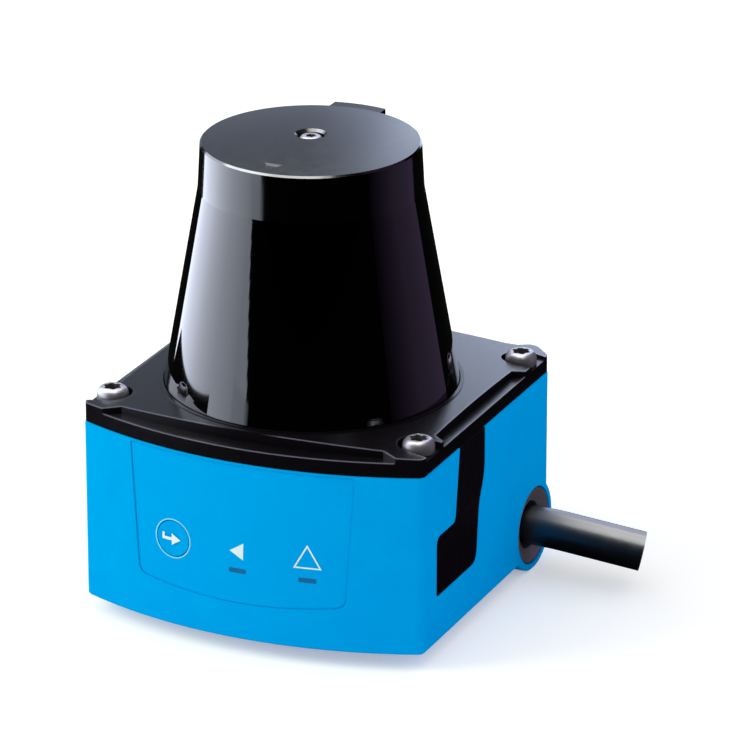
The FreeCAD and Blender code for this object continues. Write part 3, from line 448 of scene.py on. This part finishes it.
def on_front(place, height, rise=0.0):
    """Point on the curved front: a place along the arc, a height, and a rise off the label."""
    radius = FRONT_RADIUS - LABEL_SINK + rise
    turn = place / FRONT_RADIUS
    x = radius * math.sin(turn)
    y = FRONT_RADIUS - FRONT_APEX - radius * math.cos(turn)
    return Vector((x, y, height)) * MM


def divided(loop, parts):
    """The loop with more points on each side, so that it can follow the curve."""
    points = []
    for start, end in zip(loop, loop[1:] + loop[:1]):
        points += [tuple(Vector(start).lerp(Vector(end), i / parts)) for i in range(parts)]
    return points


def print_mark(name, loops, body, material):
    """Thin printed mark on the front from an outer loop and, if any, an inner loop of the same length."""
    mesh = bmesh.new()
    loops = [divided(loop, PRINT_PARTS) for loop in loops]
    front = [[mesh.verts.new(on_front(s, z, PRINT_RISE)) for s, z in loop] for loop in loops]
    back = [[mesh.verts.new(on_front(s, z)) for s, z in loop] for loop in loops]
    count = len(loops[0])
    for i in range(count):
        j = (i + 1) % count
        for side in range(len(loops)):
            mesh.faces.new((front[side][i], front[side][j], back[side][j], back[side][i]))
        if len(loops) == 2:
            mesh.faces.new((front[0][i], front[0][j], front[1][j], front[1][i]))
            mesh.faces.new((back[0][i], back[0][j], back[1][j], back[1][i]))
    if len(loops) == 1:
        mesh.faces.new(front[0])
        mesh.faces.new(back[0])
    link_mesh(name, mesh, material, body)


def circle_loop(centre, radius, count=32):
    place, height = centre
    turns = [2 * math.pi * i / count for i in range(count)]
    return [(place + radius * math.cos(t), height + radius * math.sin(t)) for t in turns]


def inset_triangle(points, width):
    """The triangle moved inwards by a line width."""
    moved = []
    for i, point in enumerate(points):
        p = Vector(point)
        ahead = (Vector(points[(i + 1) % 3]) - p).normalized()
        behind = (Vector(points[i - 1]) - p).normalized()
        half = ahead.angle(behind) / 2
        moved.append(tuple(p + (ahead + behind).normalized() * (width / math.sin(half))))
    return moved


def add_prints():
    white = ink("white_print", (0.72, 0.85, 0.95), (0.7, 0.83, 0.93), (0.74, 0.87, 0.97))
    pale_blue = ink("ring_print", (0.2, 0.62, 0.95), (0.18, 0.6, 0.94), (0.22, 0.64, 0.96))
    ring = [circle_loop(BUTTON_CENTRE, RING_OUTER), circle_loop(BUTTON_CENTRE, RING_INNER)]
    outline = [STATUS_TRIANGLE, inset_triangle(STATUS_TRIANGLE, TRIANGLE_LINE)]
    print_mark("button_ring", ring, "body", pale_blue)
    print_mark("button_arrow", [ARROW], "button", white)
    print_mark("play_triangle", [PLAY_TRIANGLE], "body", white)
    print_mark("status_triangle", outline, "body", white)


def screw_profile(radius, height, socket, depth, length):
    """Rings of a pan-head screw from its tip to its socket's floor: radius, height and lobe depth."""
    rings = [
        (0.7 * SHANK_RADIUS, -length, 0.0),
        (SHANK_RADIUS, 0.3 * SHANK_RADIUS - length, 0.0),
        (SHANK_RADIUS, 0.0, 0.0),
    ]
    head = [
        (0.97, 0.0), (1.0, 0.05), (1.0, 0.42), (0.985, 0.55), (0.95, 0.68), (0.9, 0.79),
        (0.84, 0.88), (0.77, 0.95), (0.7, 0.985), (0.62, 1.0),
    ]
    rings += [(reach * radius, rise * height, 0.0) for reach, rise in head]
    lobe = 0.22 * socket
    rings += [
        (1.04 * socket, height, lobe),
        (socket, height - 0.06, lobe),
        (0.96 * socket, height - depth, lobe),
    ]
    return rings


def screw_ring(mesh, place, radius, height, lobe):
    """Points round a screw's axis, drawn in between the lobes by the lobe depth."""
    ring = []
    for i in range(SCREW_SIDES):
        turn = 2 * math.pi * i / SCREW_SIDES
        reach = radius - lobe * (1 - math.cos(SOCKET_LOBES * turn)) / 2
        point = Vector((reach * math.cos(turn), reach * math.sin(turn), height)) * MM
        ring.append(mesh.verts.new(place + point))
    return ring


def add_screws(name, node, places, profile, materials):
    """Pan-head screws with six-lobe sockets in place of a node; places are the seats' centres."""
    steel, shade = materials
    mesh = bmesh.new()
    for place in places:
        rings = [screw_ring(mesh, place, *ring) for ring in profile]
        for low, high in zip(rings, rings[1:]):
            for i in range(SCREW_SIDES):
                j = (i + 1) % SCREW_SIDES
                face = mesh.faces.new((low[i], low[j], high[j], high[i]))
                # The socket's wall and floor take the second material, the painted shade
                face.material_index = int(high is rings[-1])
        mesh.faces.new(rings[0])
        mesh.faces.new(rings[-1]).material_index = 1
    piece = link_mesh(name, mesh, steel, "body")
    piece.data.materials.append(shade)
    piece.data.shade_smooth()
    piece.data.set_sharp_from_angle(angle=math.radians(40))
    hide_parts(node)


def add_all_screws(materials):
    low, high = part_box("cover_screws")
    x = high.x - SCREW_RADIUS * MM
    front = low.y + SCREW_RADIUS * MM
    back = high.y - SCREW_RADIUS * MM
    seat = high.z - SCREW_HEIGHT * MM
    places = [Vector((side * x, y, seat)) for side in (-1, 1) for y in (front, back)]
    length = (high.z - low.z) / MM - SCREW_HEIGHT
    profile = screw_profile(SCREW_RADIUS, SCREW_HEIGHT, SCREW_SOCKET, SCREW_SOCKET_DEPTH, length)
    add_screws("cover_screw_set", "cover_screws", places, profile, materials)
    low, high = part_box("hood_screw")
    places = [Vector((0.0, 0.0, high.z - HOOD_SCREW_HEIGHT * MM))]
    length = (high.z - low.z) / MM - HOOD_SCREW_HEIGHT
    profile = screw_profile(
        HOOD_SCREW_RADIUS, HOOD_SCREW_HEIGHT, HOOD_SCREW_SOCKET, HOOD_SCREW_SOCKET_DEPTH, length)
    add_screws("hood_top_screw", "hood_screw", places, profile, materials)


def ray_mix(tree, kind, first, second):
    """Second shader for one kind of ray, first shader for all others."""
    path = tree.nodes.new("ShaderNodeLightPath")
    mix = tree.nodes.new("ShaderNodeMixShader")
    tree.links.new(path.outputs[kind], mix.inputs["Fac"])
    tree.links.new(first, mix.inputs[1])
    tree.links.new(second, mix.inputs[2])
    return mix.outputs["Shader"]


def add_world():
    """White to the camera, a softer light on the object, and hidden from reflections."""
    world = bpy.data.worlds.new("studio")
    bpy.context.scene.world = world
    world.use_nodes = True
    tree = world.node_tree
    tree.nodes.clear()

    def background(strength):
        node = tree.nodes.new("ShaderNodeBackground")
        node.inputs["Color"].default_value = (*WHITE, 1.0)
        node.inputs["Strength"].default_value = strength
        return node.outputs["Background"]

    shader = ray_mix(tree, "Is Camera Ray", background(WORLD_STRENGTH), background(1.0))
    output = tree.nodes.new("ShaderNodeOutputWorld")
    tree.links.new(shader, output.inputs["Surface"])
    world.cycles_visibility.glossy = False


def floor_material():
    """Pale, a little brighter to the camera, and dark in reflections."""
    material = bpy.data.materials.new("floor")
    material.use_nodes = True
    tree = material.node_tree
    tree.nodes.clear()

    def matt(level):
        node = tree.nodes.new("ShaderNodeBsdfDiffuse")
        node.inputs["Color"].default_value = (level, level, level, 1.0)
        return node.outputs["BSDF"]

    pale = matt(FLOOR_PALE)
    glow = tree.nodes.new("ShaderNodeEmission")
    glow.inputs["Strength"].default_value = FLOOR_GLOW
    seen = tree.nodes.new("ShaderNodeAddShader")
    tree.links.new(pale, seen.inputs[0])
    tree.links.new(glow.outputs["Emission"], seen.inputs[1])
    shader = ray_mix(tree, "Is Glossy Ray", pale, matt(FLOOR_MIRRORED))
    shader = ray_mix(tree, "Is Camera Ray", shader, seen.outputs["Shader"])
    output = tree.nodes.new("ShaderNodeOutputMaterial")
    tree.links.new(shader, output.inputs["Surface"])
    return material


def add_floor():
    mesh = bmesh.new()
    bmesh.ops.create_grid(mesh, x_segments=1, y_segments=1, size=FLOOR_HALF_WIDTH)
    data = bpy.data.meshes.new("floor")
    mesh.to_mesh(data)
    mesh.free()
    data.materials.append(floor_material())
    floor = bpy.data.objects.new("floor", data)
    floor.location.z = cad_low.z
    bpy.context.scene.collection.objects.link(floor)


def add_area(name, place, aim, size, glow, colour=WHITE, diffuse=True, glossy=True):
    """Rectangular soft light of a given size and surface brightness."""
    data = bpy.data.lights.new(name, "AREA")
    data.shape = "RECTANGLE"
    data.size, data.size_y = size
    data.energy = glow * math.pi * size[0] * size[1]
    data.color = colour
    light = bpy.data.objects.new(name, data)
    light.location = place
    light.rotation_mode = "QUATERNION"
    light.rotation_quaternion = (Vector(aim) - Vector(place)).to_track_quat("-Z", "Y")
    light.visible_diffuse = diffuse
    light.visible_glossy = glossy
    light.visible_camera = False
    bpy.context.scene.collection.objects.link(light)


def add_ceiling(name, plan, size, glow):
    """Level panel above the object, for reflections only."""
    add_area(name, (*plan, CEILING_HEIGHT), (*plan, 0.0), size, glow, diffuse=False)


def add_wall(name, corners, high, colour, steps=8):
    """Upright light wall along a plan line, for reflections only.

    Its corners are x, y, lower edge and brightness. It shines to the left of its direction, and narrow
    panels blend the values from corner to corner.
    """
    for start, end in zip(corners, corners[1:]):
        along = (Vector(end[:2]) - Vector(start[:2])) / steps
        facing = Vector((-along.y, along.x, 0.0))
        for i in range(steps):
            x, y, low, glow = Vector(start).lerp(Vector(end), (i + 0.5) / steps)
            place = Vector((x, y, (low + high) / 2))
            add_area(name, place, place + facing, (along.length, high - low), glow, colour, diffuse=False)


def add_leaning_end(name, top, foot, glow, colour, strips=12):
    """Leaning end of a light wall, so that its reflection in the cone stands upright."""
    top = Vector(top)
    foot = Vector(foot)
    rise = (top.z - foot.z) / strips
    for i in range(strips):
        end = foot.lerp(top, (i + 0.5) / strips)
        low = foot.z + i * rise
        add_wall(name, [(top.x, top.y, low, glow), (end.x, end.y, low, glow)], low + rise, colour, steps=1)


def add_lights():
    """One soft light for the colours, and panels that show only as reflections."""
    add_area("key", (-0.6, -0.35, 0.4), OBJECT_CENTRE, (0.5, 0.5), 4.1, WARM, glossy=False)
    add_ceiling("top_wide", (-0.1, 0.08), (0.5, 0.4), 4.0)
    add_ceiling("top_front", (-0.09, -0.155), (0.74, 0.11), 13.0)
    add_ceiling("top_left", (-0.5, -0.04), (0.16, 0.14), 10.0)
    add_ceiling("top_back", (-0.09, 0.165), (0.28, 0.18), 26.0)
    softbox = [
        (-0.148, 0.055, 0.0, 4.7),
        (-0.146, 0.04, 0.011, 4.8),
        (-0.138, -0.017, 0.0155, 5.1),
        (*SOFTBOX_BEND, 0.0215, 3.6),
    ]
    add_wall("softbox", softbox, SOFTBOX_TOP, COOL, steps=32)
    add_wall("softbox_front", [(*SOFTBOX_BEND, 0.0, 3.6), (*SOFTBOX_END, 0.0, 2.6)], SOFTBOX_TOP, COOL)
    add_leaning_end("softbox_end", (*SOFTBOX_END, 0.0699), (-0.0795, -0.1806, SOFTBOX_FOOT_TOP), 2.5, COOL)
    softbox_foot = [(*SOFTBOX_END, 0.0, 2.3), (-0.085, -0.178, 0.0, 2.0), (-0.072, -0.18, 0.0, 0.4)]
    add_wall("softbox_foot", softbox_foot, SOFTBOX_FOOT_TOP, COOL)
    right_panel = [
        (0.19, -0.02, 0.0, 0.02),
        (0.18, 0.045, 0.0, 0.14),
        (0.165, 0.066, 0.0, 0.2),
        (0.105, 0.147, 0.0, 0.2),
    ]
    add_wall("right_panel", right_panel, 0.35, PURPLE)
    backdrop = [(0.03, 2.8), (-0.03, 2.5), (-0.055, 2.0), (-0.07, 0.8), (-0.09, 0.4), (-0.3, 0.5)]
    add_wall("backdrop", [(x, BACKDROP_Y, BACKDROP_LOW, glow) for x, glow in backdrop], 0.3, SKY)


bpy.context.scene.view_settings.view_transform = "Standard"
add_camera()
steel = satin_steel()
dress_nodes(steel)
add_prints()
add_all_screws((steel, socket_painted_shade()))
add_world()
add_floor()
add_lights()
